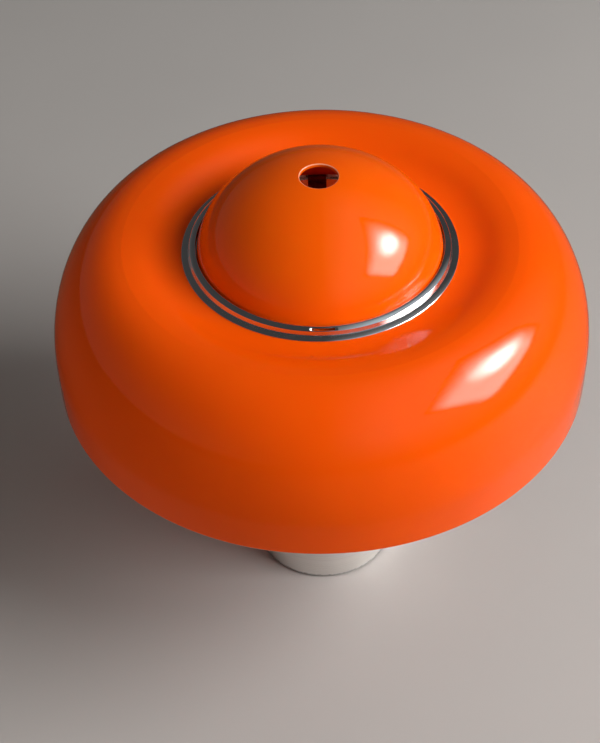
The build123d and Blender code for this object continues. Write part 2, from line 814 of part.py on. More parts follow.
spider_nut = hexagon_nut(Plane.XY.offset(spider_nut_bottom), rod_nut_size, rod_thread_hole, rod_nut_height)
spider_nut.part.label = "spider_nut"
export_step(spider_nut.part, "parts/spider_nut.step")


# ---- Shade ---------------------------------------------------------------------------------------

flange_end = ring_radius + flange_margin
valley_angle = 2 * atan(shade_crest_rise / (shade_crest_radius - flange_end))
valley_middle_radius = (flange_end + shade_crest_radius) / 2
valley_middle_height = flange_top + shade_crest_rise / 2


def draw_shade(inset):
    """The shade's outline, from the flange's bore to the rim, set in from its outside."""
    flange = Line((spigot_radius + slip_clearance, flange_top - inset), (flange_end, flange_top - inset))
    valley_middle = (
        valley_middle_radius + inset * sin(valley_angle),
        valley_middle_height - inset * cos(valley_angle),
    )
    valley = TangentArc(flange @ 1, valley_middle, tangent=flange % 1)
    TangentArc(valley @ 1, (shade_crest_radius, crest_height - inset), tangent=valley % 1)
    EllipticalCenterArc(
        (shade_crest_radius, equator_height),
        x_radius=shade_radius - shade_crest_radius - inset,
        y_radius=shade_crown_depth - inset,
        start_angle=0,
        arc_size=90,
    )
    skirt = TangentArc(
        (shade_radius - inset, equator_height),
        (shade_radius - shade_rim_inset - inset, rim_height),
        tangent=(0, -1),
    )
    return flange, skirt


# Acrylic shell: a flat flange under the ring, a soft valley, a rounded crest and a short skirt
with BuildPart() as outer_shade:
    with BuildSketch(Plane.XZ):
        with BuildLine():
            outer_flange, outer_skirt = draw_shade(0)
            inner_flange, inner_skirt = draw_shade(shade_wall)
            Line(outer_flange @ 0, inner_flange @ 0)
            Line(outer_skirt @ 1, inner_skirt @ 1)
        make_face()
    revolve(axis=Axis.Z)
    fillet(outer_shade.edges().group_by(Axis.Z)[0], shade_rim_rounding)

outer_shade.part.label = "outer_shade"
export_step(outer_shade.part, "parts/outer_shade.step")

# Chrome ring: a thin flat part on the shade's flange, a rounded collar round the dome, a ledge under
# the dome and a notch in the collar at the front, to lift the dome out with a fingernail
collar_radius = lip_radius + collar_width
collar_top = flange_top + collar_rise
ring_top = flange_top + ring_thickness
with BuildPart() as trim_ring:
    with BuildSketch(Plane.XZ) as ring_section:
        with BuildLine():
            SagittaArc((ring_radius, ring_top), (collar_radius, ring_top), -ring_crown)
            Polyline(
                (collar_radius, ring_top),
                (collar_radius, collar_top),
                (lip_radius + collar_chamfer, collar_top),
                (lip_radius, collar_top - collar_chamfer),
                (lip_radius, ledge_top),
                (opening_radius, ledge_top),
                (opening_radius, ledge_bottom),
                (spigot_radius, ledge_bottom),
                (spigot_radius, flange_top),
                (ring_radius, flange_top),
                (ring_radius, ring_top),
            )
        make_face()
        fillet(ring_section.vertices().group_by(Axis.Y)[-1].sort_by(Axis.X)[-1], collar_rounding)
        outer_corners = ring_section.vertices().group_by(Axis.X)[-1]
        fillet(outer_corners.sort_by(Axis.Y)[-1], ring_edge_rounding)
    revolve(axis=Axis.Z)
    with BuildSketch(Plane.XY.offset(ledge_top)):
        with Locations((0, -lip_radius)):
            Rectangle(ring_notch_width, 2 * ring_notch_depth)
    extrude(amount=collar_rise, mode=Mode.SUBTRACT)
    with BuildSketch(Plane.XY.offset(ledge_bottom)):
        with PolarLocations(ring_screw_circle, ring_screw_count):
            Circle(ring_screw_radius)
    extrude(amount=ring_screw_entry + thread_clearance, mode=Mode.SUBTRACT)

trim_ring.part.label = "trim_ring"
export_step(trim_ring.part, "parts/trim_ring.step")

# Steel ring under the flange, with countersunk holes
with BuildPart() as retaining_ring:
    with BuildSketch(Plane.XY.offset(carrier_height)):
        Circle(retaining_radius)
        Circle(opening_radius, mode=Mode.SUBTRACT)
        with PolarLocations(ring_screw_circle, ring_screw_count):
            Circle(ring_screw_radius + hole_clearance, mode=Mode.SUBTRACT)
    extrude(amount=retaining_thickness)
    with Locations((0, 0, carrier_height)):
        with PolarLocations(ring_screw_circle, ring_screw_count):
            Cone(
                ring_screw_head_radius + hole_clearance,
                ring_screw_radius + hole_clearance,
                ring_screw_head_height,
                align=(Align.CENTER, Align.CENTER, Align.MIN),
                mode=Mode.SUBTRACT,
            )

retaining_ring.part.label = "retaining_ring"
export_step(retaining_ring.part, "parts/retaining_ring.step")

# Countersunk screws from below, through the steel ring and into the trim ring's ledge
screw_face = carrier_height + seat_clearance
with BuildPart() as ring_screws:
    with Locations((0, 0, screw_face)):
        with PolarLocations(ring_screw_circle, ring_screw_count):
            Cone(
                ring_screw_head_radius,
                ring_screw_radius - thread_clearance,
                ring_screw_head_height,
                align=(Align.CENTER, Align.CENTER, Align.MIN),
            )
    with BuildSketch(Plane.XY.offset(screw_face)):
        with PolarLocations(ring_screw_circle, ring_screw_count):
            Circle(ring_screw_radius - thread_clearance)
    extrude(amount=ledge_bottom + ring_screw_entry - screw_face)
    with BuildSketch(Plane.XY.offset(screw_face)):
        with PolarLocations(ring_screw_circle, ring_screw_count):
            Rectangle(2 * ring_screw_head_radius, ring_screw_radius / 2)
    extrude(amount=ring_screw_head_height / 3, mode=Mode.SUBTRACT)

ring_screws.part.label = "ring_screws"
export_step(ring_screws.part, "parts/ring_screws.step")


# ---- Dome ----------------------------------------------------------------------------------------

# Acrylic cap between two ellipses with one middle, that stands on the ring's ledge
inner_half_width = dome_half_width - dome_wall
inner_half_height = dome_half_height - dome_wall
inner_bottom_angle = asin((dome_bottom - dome_centre) / inner_half_height)
vent_angle = acos(vent_radius / dome_half_width)
inner_vent_angle = acos(vent_radius / inner_half_width)
with BuildPart() as dome:
    with BuildSketch(Plane.XZ):
        with BuildLine():
            outer_arc = EllipticalCenterArc(
                (0, dome_centre),
                x_radius=dome_half_width,
                y_radius=dome_half_height,
                start_angle=degrees(dome_bottom_angle),
                arc_size=degrees(vent_angle - dome_bottom_angle),
            )
            inner_arc = EllipticalCenterArc(
                (0, dome_centre),
                x_radius=inner_half_width,
                y_radius=inner_half_height,
                start_angle=degrees(inner_bottom_angle),
                arc_size=degrees(inner_vent_angle - inner_bottom_angle),
            )
            Line(outer_arc @ 0, inner_arc @ 0)
            Line(outer_arc @ 1, inner_arc @ 1)
        make_face()
    revolve(axis=Axis.Z)
    vent_edges = dome.edges().filter_by(GeomType.CIRCLE).sort_by(SortBy.RADIUS)[0:2]
    fillet(vent_edges.sort_by(Axis.Z)[-1], vent_rounding)

dome.part.label = "dome"
export_step(dome.part, "parts/dome.step")
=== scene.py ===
"""Mushroom table lamp: camera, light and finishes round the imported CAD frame.

Metres, in the frame of the CAD: +Z is up, the lamp stands on z = 0 and its front faces -Y.
"""

import json
from math import cos, pi, radians, sin

import bpy
from mathutils import Matrix, Vector


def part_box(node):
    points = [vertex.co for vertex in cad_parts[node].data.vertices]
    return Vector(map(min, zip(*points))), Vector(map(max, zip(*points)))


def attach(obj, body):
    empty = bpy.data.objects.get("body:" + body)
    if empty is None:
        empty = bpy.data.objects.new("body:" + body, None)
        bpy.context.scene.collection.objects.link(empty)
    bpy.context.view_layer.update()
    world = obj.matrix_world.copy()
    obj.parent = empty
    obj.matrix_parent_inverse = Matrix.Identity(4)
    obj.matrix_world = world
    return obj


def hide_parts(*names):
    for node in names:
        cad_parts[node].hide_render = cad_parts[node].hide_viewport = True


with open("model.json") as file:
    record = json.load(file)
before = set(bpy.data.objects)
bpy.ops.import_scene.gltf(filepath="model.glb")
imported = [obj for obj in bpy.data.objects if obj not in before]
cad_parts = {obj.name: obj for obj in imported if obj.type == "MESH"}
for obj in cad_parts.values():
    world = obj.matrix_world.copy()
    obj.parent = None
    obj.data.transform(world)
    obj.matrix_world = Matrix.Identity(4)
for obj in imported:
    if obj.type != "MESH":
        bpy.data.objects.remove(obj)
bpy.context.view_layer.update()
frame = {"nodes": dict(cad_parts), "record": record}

# Camera, fitted to the photograph
CAMERA_PLACE = (-0.0194, -1.1363, 1.3134)
CAMERA_PITCH = 44.14  # degrees below the horizon
CAMERA_ROLL = -1.54  # degrees, against the clock
SENSOR = 36.0
LENS = 86.3

# Light: a window high on the right, seen as the bright patch on shade and dome, and a soft room
WINDOW_CORNERS = [(1.30, 0.62, 2.98), (4.30, 1.22, 1.68), (5.80, -2.44, 1.52), (2.78, -3.10, 2.86)]
WINDOW_GLOW = 11.0
WINDOW_CORE = (2.95, -0.16, 2.37)  # where the pane is brightest
WINDOW_CORE_SIZE = 1.1
WINDOW_CORE_GLOW = 56.0
WINDOW_SOFT_EDGE = 0.45  # share of the pane's half width over which its glow fades
WINDOW_COLOR = (1.0, 0.96, 0.95)
DAYLIGHT_PLACE = (2.31, -0.84, 2.05)
DAYLIGHT_SIZE = 1.9
DAYLIGHT_POWER = 124.0
BOUNCE_PLACE = (-2.0, -1.6, 0.30)  # light thrown back from the room, low on the left
BOUNCE_SIZE = 1.2
BOUNCE_POWER = 9.0
BOUNCE_COLOR = (1.0, 0.66, 0.45)
ROOM_COLOR = (1.0, 0.98, 0.96)
ROOM_FILL = 0.13
ROOM_REFLECTED = 0.045
WALL_REFLECTED = 0.17
SKY_REFLECTED = 0.55  # pale sky through the window, high on the right
SKY_COLOR = (0.80, 0.93, 1.0)
BACKDROP = 0.42  # as the camera sees it, beyond the floor

# Where the reflected wall and sky lie: parts of the direction over which each fades in or out
WALL_FULL_LEFT, WALL_END_LEFT = -0.9, -0.3
WALL_FULL_LOW, WALL_END_HIGH = 0.1, 0.6
SKY_START_RIGHT, SKY_FULL_RIGHT = 0.02, 0.35
SKY_FULL_NEAR, SKY_END_FAR = 0.25, 0.65
SKY_START_HIGH, SKY_FULL_HIGH = 0.0, 0.40

# Painted highlight on the cut edges of the acrylic: paler than its faces, standing in for the light that
# the edges catch
VENT_RADIUS = 0.0158
VENT_EDGE = (0.0004, 0.0008)  # beyond the vent's radius
VENT_EDGE_DEPTH = (0.0009, 0.0006)  # below the dome's top
RIM_EDGE = (0.0012, 0.0008)  # above the shade's rim

# Screw caps of the bulbs and the sleeves they turn in: distances are along a lamp's axis
LAMP_COUNT = 3
FIRST_LAMP_ANGLE = -90.0
LAMP_TILT = 15.0
LAMP_HEIGHT = 0.268  # where the lamps' axes meet
THREAD_PITCH = 0.003629
THREAD_CREST = 0.0132
THREAD_ROOT = 0.0121
THREAD_CLEARANCE = 0.00012
THREAD_STEPS = 12  # rings of points in one pitch
THREAD_SIDES = 60
THREAD_SHARP_ANGLE = 50
CAP_START = 0.0506
CAP_TIP_RADIUS = 0.0045
CONE_END = 0.0540
COLLAR_START = 0.0710
CAP_END = 0.0791
SLEEVE_START = 0.0481
SLEEVE_END = 0.0766
THREAD_FADE = 0.0015
SHEET_THICKNESS = 0.00045

# Chrome ring, rolled from sheet. Radius and height, in millimetres. Three bands face outwards and up:
# a crowned top, a leaning wall and a sloping foot
RING_SIDES = 288
RING_SHARP_ANGLE = 30
RING_SHEET = 0.0005
RING_UNDERSIDE = [(115.55, 354.32), (104.05, 354.32), (104.05, 351.95), (98.15, 351.95), (98.15, 354.6)]
RING_INNER_WALL = [(103.5, 354.6), (103.5, 360.6)]
RING_LIP = [(103.53, 360.9), (103.66, 361.1), (103.9, 361.2)]
RING_TOP_WIDTH = 4.9
RING_TOP_TILTS = (3.0, 33.0)  # degrees, at the inner and outer edge of the top
RING_TOP_STEPS = 10
RING_WALL = [(108.93, 359.45), (109.0, 359.25), (110.0, 356.25)]
RING_FOOT = [(110.1, 356.1), (111.4, 355.93), (112.7, 355.72), (114.0, 355.46), (115.0, 355.22)]
RING_EDGE = [(115.3, 355.12), (115.5, 354.95), (115.6, 354.7)]
SLOT_SIDES = 8  # width of the finger slot at the front
SLOT_STEPS = (5, 9)  # where it cuts the top, counted from the lip

# Floor
FLOOR_SIZE = 40.0
FLOOR_COLOR = (0.46, 0.45, 0.43)
FLOOR_REFLECTED = (0.13, 0.095, 0.06)  # what reflections see of it, away from the lamp
FLOOR_DARKENS = (0.18, 0.50)  # distances from the lamp's axis over which that sets in

# Colours, linear
SHADE_ORANGE = (0.95, 0.094, 0.001)
DOME_ORANGE = (0.96, 0.112, 0.001)
# painted highlight colour for the acrylic's cut edges
EDGE_HIGHLIGHT = (0.98, 0.42, 0.25)
CHROME = (0.82, 0.83, 0.85)
ALUMINIUM = (0.80, 0.79, 0.76)
ZINC = (0.60, 0.60, 0.59)
IRON = (0.045, 0.045, 0.048)
RUBBER = (0.018, 0.018, 0.018)
BLACK = (0.012, 0.012, 0.013)
# black enamel of the carrier, drawn dark red: a painted red glow for the orange light bounced inside the
# shade
DARK_ENAMEL_RED_GLOW = (0.13, 0.028, 0.02)
WHITE_PLASTIC = (0.74, 0.72, 0.66)
WHITE_PAINT = (0.80, 0.79, 0.75)
SHEATH = (0.66, 0.64, 0.58)
BRASS = (0.80, 0.58, 0.25)
NICKEL = (0.66, 0.65, 0.62)
CERAMIC = (0.74, 0.71, 0.63)
OPAL = (0.90, 0.89, 0.85)


# ---- Node helpers --------------------------------------------------------------------------------


def add_node(tree, kind, inputs=None, **settings):
    """A node with its settings made and its inputs set or linked."""
    node = tree.nodes.new(kind)
    for key, value in settings.items():
        setattr(node, key, value)
    for name, value in (inputs or {}).items():
        if isinstance(value, bpy.types.NodeSocket):
            tree.links.new(value, node.inputs[name])
        else:
            node.inputs[name].default_value = value
    return node


def opaque(color):
    return (*color, 1.0)


def new_surface(name, color, roughness, metallic=0.0, **uniform):
    """A material with one Principled shader. Further inputs are named with _ for each space.

    Returns the material, its tree and the shader.
    """
    material = bpy.data.materials.new(name)
    material.use_nodes = True
    material.diffuse_color = opaque(color)
    tree = material.node_tree
    shader = tree.nodes["Principled BSDF"]
    shader.inputs["Base Color"].default_value = opaque(color)
    shader.inputs["Roughness"].default_value = roughness
    shader.inputs["Metallic"].default_value = metallic
    for socket, value in uniform.items():
        shader.inputs[socket.replace("_", " ")].default_value = value
    return material, tree, shader


def object_place(tree):
    return add_node(tree, "ShaderNodeTexCoord").outputs["Object"]


def noise(tree, scale, stretch=(1, 1, 1), detail=3.0, roughness=0.5):
    """Noise over the surface: features per metre, and how much closer they lie along each axis."""
    mapping = add_node(tree, "ShaderNodeMapping", {"Vector": object_place(tree), "Scale": stretch})
    inputs = {"Vector": mapping.outputs["Vector"], "Scale": scale}
    inputs |= {"Detail": detail, "Roughness": roughness}
    return add_node(tree, "ShaderNodeTexNoise", inputs).outputs["Fac"]


def remap(tree, value, low, high, start=0.35, end=0.65):
    inputs = {"Value": value, "From Min": start, "From Max": end, "To Min": low, "To Max": high}
    return add_node(tree, "ShaderNodeMapRange", inputs).outputs["Result"]


def blend_colors(tree, factor, first, second):
    node = add_node(tree, "ShaderNodeMix", data_type="RGBA")
    for socket, value in ((node.inputs[0], factor), (node.inputs[6], first), (node.inputs[7], second)):
        if isinstance(value, bpy.types.NodeSocket):
            tree.links.new(value, socket)
        else:
            socket.default_value = value
    return node.outputs[2]


def shaded(color, factor):
    return opaque([channel * factor for channel in color])


def mottle(tree, shader, color, amount, pattern):
    """Makes the colour a little darker and lighter along a pattern."""
    darker, lighter = shaded(color, 1 - amount), shaded(color, 1 + amount)
    mixed = blend_colors(tree, remap(tree, pattern, 0, 1), darker, lighter)
    tree.links.new(mixed, shader.inputs["Base Color"])
    return mixed


def vary_roughness(tree, shader, low, high, pattern):
    tree.links.new(remap(tree, pattern, low, high), shader.inputs["Roughness"])


def relief(tree, shader, pattern, depth):
    inputs = {"Height": pattern, "Distance": depth, "Strength": 1.0}
    if shader.inputs["Normal"].is_linked:
        inputs["Normal"] = shader.inputs["Normal"].links[0].from_socket
    bump = add_node(tree, "ShaderNodeBump", inputs)
    tree.links.new(bump.outputs["Normal"], shader.inputs["Normal"])


# ---- Finishes ------------------------------------------------------------------------------------


def acrylic(name, color, highlight_mask):
    """Glossy cast acrylic: faint waves from forming, fine wiping marks, and a painted highlight that
    makes it paler at its cut edges.
    """
    material, tree, shader = new_surface(
        name,
        color,
        0.05,
        IOR=1.49,
        Specular_IOR_Level=0.30,
        Subsurface_Weight=0.15,
        Subsurface_Radius=(0.012, 0.0015, 0.0005),
        Subsurface_Scale=1.0,
    )
    body = mottle(tree, shader, color, 0.03, noise(tree, 9, detail=2))
    # painted highlight: the cut edges are drawn paler, for the light they catch
    edge = blend_colors(tree, highlight_mask(tree), body, opaque(EDGE_HIGHLIGHT))
    tree.links.new(edge, shader.inputs["Base Color"])
    vary_roughness(tree, shader, 0.035, 0.075, noise(tree, 60, stretch=(1, 1, 3), detail=6))
    relief(tree, shader, noise(tree, 14, detail=1), 0.0006)
    relief(tree, shader, noise(tree, 1500, detail=2), 0.000002)
    return material


def height_mask(tree, start, end):
    """1 at the end height, 0 at the start height and beyond."""
    height = add_node(tree, "ShaderNodeSeparateXYZ", {"Vector": object_place(tree)}).outputs["Z"]
    return remap(tree, height, 0, 1, start, end)


def rim_highlight_mask(tree):
    """The lowest part of the rim, where the edge highlight is painted."""
    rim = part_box("outer_shade")[0].z
    start, end = RIM_EDGE
    return height_mask(tree, rim + start, rim + end)


def axis_distance(tree):
    """Distance from the lamp's upright axis."""
    inputs = {0: object_place(tree), 1: (1, 1, 0)}
    flat = add_node(tree, "ShaderNodeVectorMath", inputs, operation="MULTIPLY").outputs["Vector"]
    return add_node(tree, "ShaderNodeVectorMath", {0: flat}, operation="LENGTH").outputs["Value"]


def multiplied(tree, first, second):
    return add_node(tree, "ShaderNodeMath", {0: first, 1: second}, operation="MULTIPLY").outputs["Value"]


def vent_highlight_mask(tree):
    """The rounded corner round the vent hole, where the edge highlight is painted."""
    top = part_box("dome")[1].z
    full, end = VENT_EDGE
    near = remap(tree, axis_distance(tree), 1, 0, VENT_RADIUS + full, VENT_RADIUS + end)
    lowest, full = VENT_EDGE_DEPTH
    return multiplied(tree, near, height_mask(tree, top - lowest, top - full))


def radius_lines(tree, scale):
    """Fine lines round the lamp's axis, from noise along the radius."""
    inputs = {"W": axis_distance(tree), "Scale": scale, "Detail": 2}
    return add_node(tree, "ShaderNodeTexNoise", inputs, noise_dimensions="1D").outputs["Fac"]


def turned_chrome(name, color):
    """Polished chrome with faint turning lines and a few dull spots."""
    material, tree, shader = new_surface(name, color, 0.09, metallic=1.0)
    mottle(tree, shader, color, 0.04, noise(tree, 40, detail=4))
    vary_roughness(tree, shader, 0.06, 0.15, noise(tree, 120, detail=5))
    relief(tree, shader, radius_lines(tree, 2500), 0.000004)
    return material


def brushed_aluminium(name, color):
    """Satin aluminium with brushing that runs round the cylinder."""
    material, tree, shader = new_surface(name, color, 0.36, metallic=1.0)
    brushing = noise(tree, 4, stretch=(1, 1, 350), detail=4, roughness=0.7)
    mottle(tree, shader, color, 0.07, brushing)
    vary_roughness(tree, shader, 0.30, 0.44, brushing)
    relief(tree, shader, brushing, 0.00002)
    return material


def plated_steel(name, color):
    """Bright plated steel with fine grain."""
    material, tree, shader = new_surface(name, color, 0.30, metallic=1.0)
    mottle(tree, shader, color, 0.10, noise(tree, 220, detail=3))
    vary_roughness(tree, shader, 0.22, 0.42, noise(tree, 500, detail=4))
    relief(tree, shader, noise(tree, 900, detail=2), 0.00001)
    return material


def rough_iron(name, color):
    """Cast iron with a sandy skin."""
    material, tree, shader = new_surface(name, color, 0.75, metallic=0.6)
    mottle(tree, shader, color, 0.35, noise(tree, 150, detail=6))
    relief(tree, shader, noise(tree, 600, detail=4), 0.0003)
    return material


def moulded(name, color, low, high):
    """Moulded rubber, plastic, vinyl or ceramic: a fine grain and a gloss that varies a little."""
    material, tree, shader = new_surface(name, color, low)
    mottle(tree, shader, color, 0.08, noise(tree, 90, detail=4))
    vary_roughness(tree, shader, low, high, noise(tree, 180, detail=5))
    relief(tree, shader, noise(tree, 1400, detail=3), 0.00002)
    return material


def bright_metal(name, color):
    """Thin brass or nickel with a little tarnish."""
    material, tree, shader = new_surface(name, color, 0.22, metallic=1.0)
    mottle(tree, shader, color, 0.06, noise(tree, 130, detail=5))
    vary_roughness(tree, shader, 0.18, 0.28, noise(tree, 260, detail=5))
    return material


def enamel(name, color):
    """Stove enamel with a slight orange peel."""
    material, tree, shader = new_surface(name, color, 0.28)
    mottle(tree, shader, color, 0.04, noise(tree, 60, detail=3))
    vary_roughness(tree, shader, 0.25, 0.33, noise(tree, 150, detail=4))
    relief(tree, shader, noise(tree, 450, detail=2), 0.00006)
    return material


def opal(name, color):
    """Glass with a silky white coat inside."""
    material, tree, shader = new_surface(
        name,
        color,
        0.14,
        IOR=1.5,
        Subsurface_Weight=0.25,
        Subsurface_Radius=(0.004, 0.004, 0.004),
        Subsurface_Scale=1.0,
    )
    mottle(tree, shader, color, 0.03, noise(tree, 70, detail=3))
    vary_roughness(tree, shader, 0.10, 0.20, noise(tree, 110, detail=4))
    return material


FINISHES = {
    "orange_acrylic": acrylic("orange_acrylic_finish", SHADE_ORANGE, rim_highlight_mask),
    "dome_acrylic": acrylic("dome_acrylic_finish", DOME_ORANGE, vent_highlight_mask),
    "trim_chrome": turned_chrome("trim_chrome_finish", CHROME),
    "stem_chrome": turned_chrome("stem_chrome_finish", CHROME),
    "satin_aluminium": brushed_aluminium("satin_aluminium_finish", ALUMINIUM),
    "black_rubber": moulded("black_rubber_finish", RUBBER, 0.70, 0.90),
    "zinc_steel": plated_steel("zinc_steel_finish", ZINC),
    "iron": rough_iron("iron_finish", IRON),
    "black_plastic": moulded("black_plastic_finish", BLACK, 0.27, 0.36),
    "white_plastic": moulded("white_plastic_finish", WHITE_PLASTIC, 0.40, 0.60),
    "brass_fittings": bright_metal("brass_finish", BRASS),
    "insert_ceramic": moulded("ceramic_finish", CERAMIC, 0.50, 0.75),
    "lead_sheath": moulded("lead_sheath_finish", SHEATH, 0.45, 0.60),
    "white_paint": enamel("white_paint_finish", WHITE_PAINT),
    # painted red glow: the carrier's black enamel is drawn dark red
    "black_paint": enamel("black_paint_finish", DARK_ENAMEL_RED_GLOW),
    "bulb_metal": bright_metal("bulb_metal_finish", NICKEL),
    "opal_glass": opal("opal_glass_finish", OPAL),
}


def dress_cad_nodes():
    """Gives each CAD node the finish of its slot in the record."""
    for subpart in frame["record"]["subparts"]:
        mesh = frame["nodes"][subpart["node"]].data
        mesh.materials.clear()
        mesh.materials.append(FINISHES[subpart["material_slot"]])


def new_piece(name, vertices, faces, material):
    mesh = bpy.data.meshes.new(name)
    mesh.from_pydata(vertices, [], faces)
    mesh.materials.append(material)
    piece = bpy.data.objects.new(name, mesh)
    bpy.context.scene.collection.objects.link(piece)
    return piece


# ---- Chrome ring ---------------------------------------------------------------------------------


def ring_outline():
    """The sheet's outline, and the spans of it that the finger slot leaves out."""
    outline = RING_UNDERSIDE + RING_INNER_WALL + RING_LIP
    start = len(outline) - 1
    first, last = (radians(tilt) for tilt in RING_TOP_TILTS)
    arc_radius = RING_TOP_WIDTH / (sin(last) - sin(first))
    radius, height = RING_LIP[-1]
    for step in range(1, RING_TOP_STEPS + 1):
        tilt = first + (last - first) * step / RING_TOP_STEPS
        across = arc_radius * (sin(tilt) - sin(first))
        drop = arc_radius * (cos(first) - cos(tilt))
        outline.append((radius + across, height - drop))
    wall = len(RING_UNDERSIDE)
    cut = {wall, *range(start + SLOT_STEPS[0], start + SLOT_STEPS[1])}
    return outline + RING_WALL + RING_FOOT + RING_EDGE, cut


def roll_ring():
    """The ring's sheet, bent to its outline all round, with a slot at the front for a fingernail."""
    outline, cut = ring_outline()
    spans = len(outline)
    vertices = []
    for side in range(RING_SIDES):
        angle = 2 * pi * (side - SLOT_SIDES / 2) / RING_SIDES - pi / 2
        for radius, height in outline:
            millimetres = (cos(angle) * radius, sin(angle) * radius, height)
            vertices.append([size / 1000 for size in millimetres])
    faces = []
    for side in range(RING_SIDES):
        near, far = side * spans, (side + 1) % RING_SIDES * spans
        for span in range(spans):
            if side < SLOT_SIDES and span in cut:
                continue
            following = (span + 1) % spans
            faces.append((near + span, near + following, far + following, far + span))
    ring = new_piece("rolled_ring", vertices, faces, FINISHES["trim_chrome"])
    ring.data.shade_smooth()
    ring.data.set_sharp_from_angle(angle=radians(RING_SHARP_ANGLE))
    sheet = ring.modifiers.new("sheet", "SOLIDIFY")
    sheet.thickness = RING_SHEET
    sheet.offset = -1
    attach(ring, "shade")
    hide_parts("trim_ring")


# ---- Screw threads -------------------------------------------------------------------------------


def smooth_step(value, start, end):
    share = min(max((value - start) / (end - start), 0.0), 1.0)
    return share * share * (3 - 2 * share)


def ridge(distance, angle):
    """Height of the right-hand thread at a place on it: 1 on its crest, 0 at its root."""
    return (1 + cos(2 * pi * distance / THREAD_PITCH - angle)) / 2


def cap_radius(distance, angle):
    """A cone from the tip, the thread, and a plain collar for the glass."""
    if distance < CONE_END:
        share = (distance - CAP_START) / (CONE_END - CAP_START)
        return CAP_TIP_RADIUS + (THREAD_ROOT - CAP_TIP_RADIUS) * share
    rise = smooth_step(distance, CONE_END, CONE_END + THREAD_FADE) * ridge(distance, angle)
    collar = smooth_step(distance, COLLAR_START - THREAD_FADE, COLLAR_START)
    return THREAD_ROOT + (THREAD_CREST - THREAD_ROOT) * (collar + (1 - collar) * rise)


def sleeve_radius(distance, angle):
    """The sleeve's outside: the cap's thread again, and plain at both ends."""
    depth = smooth_step(distance, CONE_END, CONE_END + THREAD_FADE)
    thread_end = COLLAR_START - 2 * THREAD_FADE
    depth *= 1 - smooth_step(distance, thread_end, thread_end + THREAD_FADE / 2)
    groove = (THREAD_CREST - THREAD_ROOT) * depth * (1 - ridge(distance, angle))
    return THREAD_CREST + THREAD_CLEARANCE + SHEET_THICKNESS - groove


def rolled_sheet(name, lamp, start, end, outside, material):
    """A thin sheet rolled round a lamp's axis, from the radius of its outside at each place."""
    azimuth = radians(FIRST_LAMP_ANGLE + lamp * 360 / LAMP_COUNT)
    tilt = radians(LAMP_TILT)
    outwards = Vector((cos(tilt) * cos(azimuth), cos(tilt) * sin(azimuth), sin(tilt)))
    sideways = Vector((sin(azimuth), -cos(azimuth), 0))
    upwards = outwards.cross(sideways)
    step = THREAD_PITCH / THREAD_STEPS
    distances = [start + ring * step for ring in range(int((end - start) / step))] + [end]
    vertices = []
    for inset, along in ((0, distances), (SHEET_THICKNESS, distances[::-1])):
        for distance in along:
            for side in range(THREAD_SIDES):
                angle = 2 * pi * side / THREAD_SIDES
                across = sideways * cos(angle) + upwards * sin(angle)
                radius = outside(distance, angle) - inset
                vertices.append(Vector((0, 0, LAMP_HEIGHT)) + outwards * distance + across * radius)
    rings = 2 * len(distances)
    faces = []
    for ring in range(rings):
        for side in range(THREAD_SIDES):
            near, far = ring * THREAD_SIDES, (ring + 1) % rings * THREAD_SIDES
            following = (side + 1) % THREAD_SIDES
            faces.append((near + side, near + following, far + following, far + side))
    piece = new_piece(name, vertices, faces, material)
    piece.data.shade_smooth()
    piece.data.set_sharp_from_angle(angle=radians(THREAD_SHARP_ANGLE))
    return piece


def thread_lamps():
    """Caps and sleeves with the thread that the CAD leaves out."""
    for lamp in range(LAMP_COUNT):
        number = lamp + 1
        name, finish = f"threaded_cap_{number}", FINISHES["bulb_metal"]
        cap = rolled_sheet(name, lamp, CAP_START, CAP_END, cap_radius, finish)
        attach(cap, f"bulb_{number}")
        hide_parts(f"bulb_cap_{number}")
        name, finish = f"threaded_sleeve_{number}", FINISHES["brass_fittings"]
        sleeve = rolled_sheet(name, lamp, SLEEVE_START, SLEEVE_END, sleeve_radius, finish)
        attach(sleeve, "base")
        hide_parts(f"screw_sleeve_{number}")


# ---- Stage ---------------------------------------------------------------------------------------


def lay_floor():
    """A pale floor, which reflections see darker away from the lamp."""
    material, tree, shader = new_surface("floor_finish", FLOOR_COLOR, 0.6)
    pale = mottle(tree, shader, FLOOR_COLOR, 0.015, noise(tree, 3, detail=3))
    away = remap(tree, axis_distance(tree), 0, 1, *FLOOR_DARKENS)
    share = multiplied(tree, away, add_node(tree, "ShaderNodeLightPath").outputs["Is Glossy Ray"])
    seen = blend_colors(tree, share, pale, opaque(FLOOR_REFLECTED))
    tree.links.new(seen, shader.inputs["Base Color"])
    half = FLOOR_SIZE / 2
    corners = [(-half, -half, 0), (half, -half, 0), (half, half, 0), (-half, half, 0)]
    new_piece("floor", corners, [(0, 1, 2, 3)], material)


